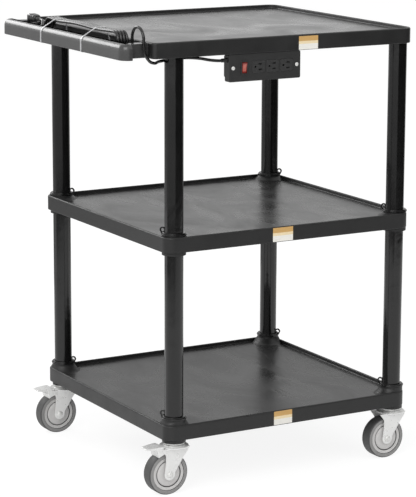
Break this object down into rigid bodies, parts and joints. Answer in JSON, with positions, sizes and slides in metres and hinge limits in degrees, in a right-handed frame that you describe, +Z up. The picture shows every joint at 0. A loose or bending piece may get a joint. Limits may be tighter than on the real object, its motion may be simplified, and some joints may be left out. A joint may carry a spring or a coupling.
{
  "type": "utility cart",
  "caption": "Black plastic shelf cart on swivel casters with a push handle, an outlet box and its cord wound in the handle.",
  "frame": {"origin": "on the floor, under the middle of the cart's own box, the cord and what is on it left aside", "axes": "+Z up, X along the shelves with the push handle at -X, Y across them with the outlet box at -Y"},
  "size_m": [0.7949, 0.6604, 1.1034],
  "materials": {
    "shelf_plastic": "black moulded plastic with a fine raised grain on the decks",
    "leg_plastic": "smooth glossy black",
    "handle_plastic": "smooth black with a soft sheen",
    "box_plastic": "satin black",
    "switch_red": "translucent red, smooth",
    "receptacle_black": "smooth black",
    "cord_black": "satin black jacket",
    "bright_steel": "bright plated steel",
    "zinc": "bright zinc plate on pressed steel",
    "tyre_grey": "smooth grey rubber",
    "hub_grey": "light grey moulded plastic",
    "clear_film": "clear thin band"
  },
  "bodies": {
    "cart": {"top_shelf": "shelf_plastic", "middle_shelf": "shelf_plastic", "bottom_shelf": "shelf_plastic", "lower_leg_front_left": "leg_plastic", "upper_leg_front_left": "leg_plastic", "lower_leg_front_right": "leg_plastic", "upper_leg_front_right": "leg_plastic", "lower_leg_back_left": "leg_plastic", "upper_leg_back_left": "leg_plastic", "lower_leg_back_right": "leg_plastic", "upper_leg_back_right": "leg_plastic", "push_handle": "handle_plastic", "handle_screw_front": "bright_steel", "handle_screw_back": "bright_steel", "cover_screw_left": "bright_steel", "cover_screw_right": "bright_steel", "housing_screw_left": "bright_steel", "housing_screw_right": "bright_steel", "plug_blade_left": "bright_steel", "plug_blade_right": "bright_steel", "plug_earth_pin": "bright_steel", "outlet_cover": "box_plastic", "outlet_housing": "box_plastic", "switch_bezel": "box_plastic", "receptacle_1": "receptacle_black", "receptacle_2": "receptacle_black", "receptacle_3": "receptacle_black", "cord_gland": "cord_black", "power_cord": "cord_black", "cord_hank": "cord_black", "power_plug": "cord_black", "cord_tie": "cord_black", "cord_strap_1": "clear_film", "cord_strap_2": "clear_film", "caster_mount_front_left": "zinc", "caster_mount_front_right": "zinc", "caster_mount_back_left": "zinc", "caster_mount_back_right": "zinc"},
    "fork_front_left": {"caster_fork_front_left": "zinc", "caster_axle_front_left": "bright_steel"},
    "wheel_front_left": {"wheel_hub_front_left": "hub_grey", "wheel_tyre_front_left": "tyre_grey"},
    "pedal_front_left": {"brake_pedal_front_left": "zinc"},
    "fork_front_right": {"caster_fork_front_right": "zinc", "caster_axle_front_right": "bright_steel"},
    "wheel_front_right": {"wheel_hub_front_right": "hub_grey", "wheel_tyre_front_right": "tyre_grey"},
    "fork_back_left": {"caster_fork_back_left": "zinc", "caster_axle_back_left": "bright_steel"},
    "wheel_back_left": {"wheel_hub_back_left": "hub_grey", "wheel_tyre_back_left": "tyre_grey"},
    "pedal_back_left": {"brake_pedal_back_left": "zinc"},
    "fork_back_right": {"caster_fork_back_right": "zinc", "caster_axle_back_right": "bright_steel"},
    "wheel_back_right": {"wheel_hub_back_right": "hub_grey", "wheel_tyre_back_right": "tyre_grey"},
    "rocker": {"rocker_switch": "switch_red"}
  },
  "joints": [
    {"name": "swivel_front_left", "type": "hinge", "parent": "cart", "child": "fork_front_left", "pos_m": [-0.2474, -0.2952, 0.114], "axis": [0, 0, 1], "continuous": true},
    {"name": "wheel_spin_front_left", "type": "hinge", "parent": "fork_front_left", "child": "wheel_front_left", "pos_m": [-0.2699, -0.2952, 0.0508], "axis": [0, 1, 0], "continuous": true},
    {"name": "brake_front_left", "type": "hinge", "parent": "fork_front_left", "child": "pedal_front_left", "pos_m": [-0.2774, -0.2952, 0.1065], "axis": [0, 1, 0], "range_deg": [0, 12]},
    {"name": "swivel_front_right", "type": "hinge", "parent": "cart", "child": "fork_front_right", "pos_m": [0.3652, -0.2952, 0.114], "axis": [0, 0, 1], "continuous": true},
    {"name": "wheel_spin_front_right", "type": "hinge", "parent": "fork_front_right", "child": "wheel_front_right", "pos_m": [0.3427, -0.2952, 0.0508], "axis": [0, 1, 0], "continuous": true},
    {"name": "swivel_back_left", "type": "hinge", "parent": "cart", "child": "fork_back_left", "pos_m": [-0.2474, 0.2952, 0.114], "axis": [0, 0, 1], "continuous": true},
    {"name": "wheel_spin_back_left", "type": "hinge", "parent": "fork_back_left", "child": "wheel_back_left", "pos_m": [-0.2699, 0.2952, 0.0508], "axis": [0, 1, 0], "continuous": true},
    {"name": "brake_back_left", "type": "hinge", "parent": "fork_back_left", "child": "pedal_back_left", "pos_m": [-0.2774, 0.2952, 0.1065], "axis": [0, 1, 0], "range_deg": [0, 12]},
    {"name": "swivel_back_right", "type": "hinge", "parent": "cart", "child": "fork_back_right", "pos_m": [0.3652, 0.2952, 0.114], "axis": [0, 0, 1], "continuous": true},
    {"name": "wheel_spin_back_right", "type": "hinge", "parent": "fork_back_right", "child": "wheel_back_right", "pos_m": [0.3427, 0.2952, 0.0508], "axis": [0, 1, 0], "continuous": true},
    {"name": "power_switch", "type": "hinge", "parent": "cart", "child": "rocker", "pos_m": [-0.0787, -0.3216, 0.9979], "axis": [1, 0, 0], "range_deg": [-16, 0]}
  ]
}
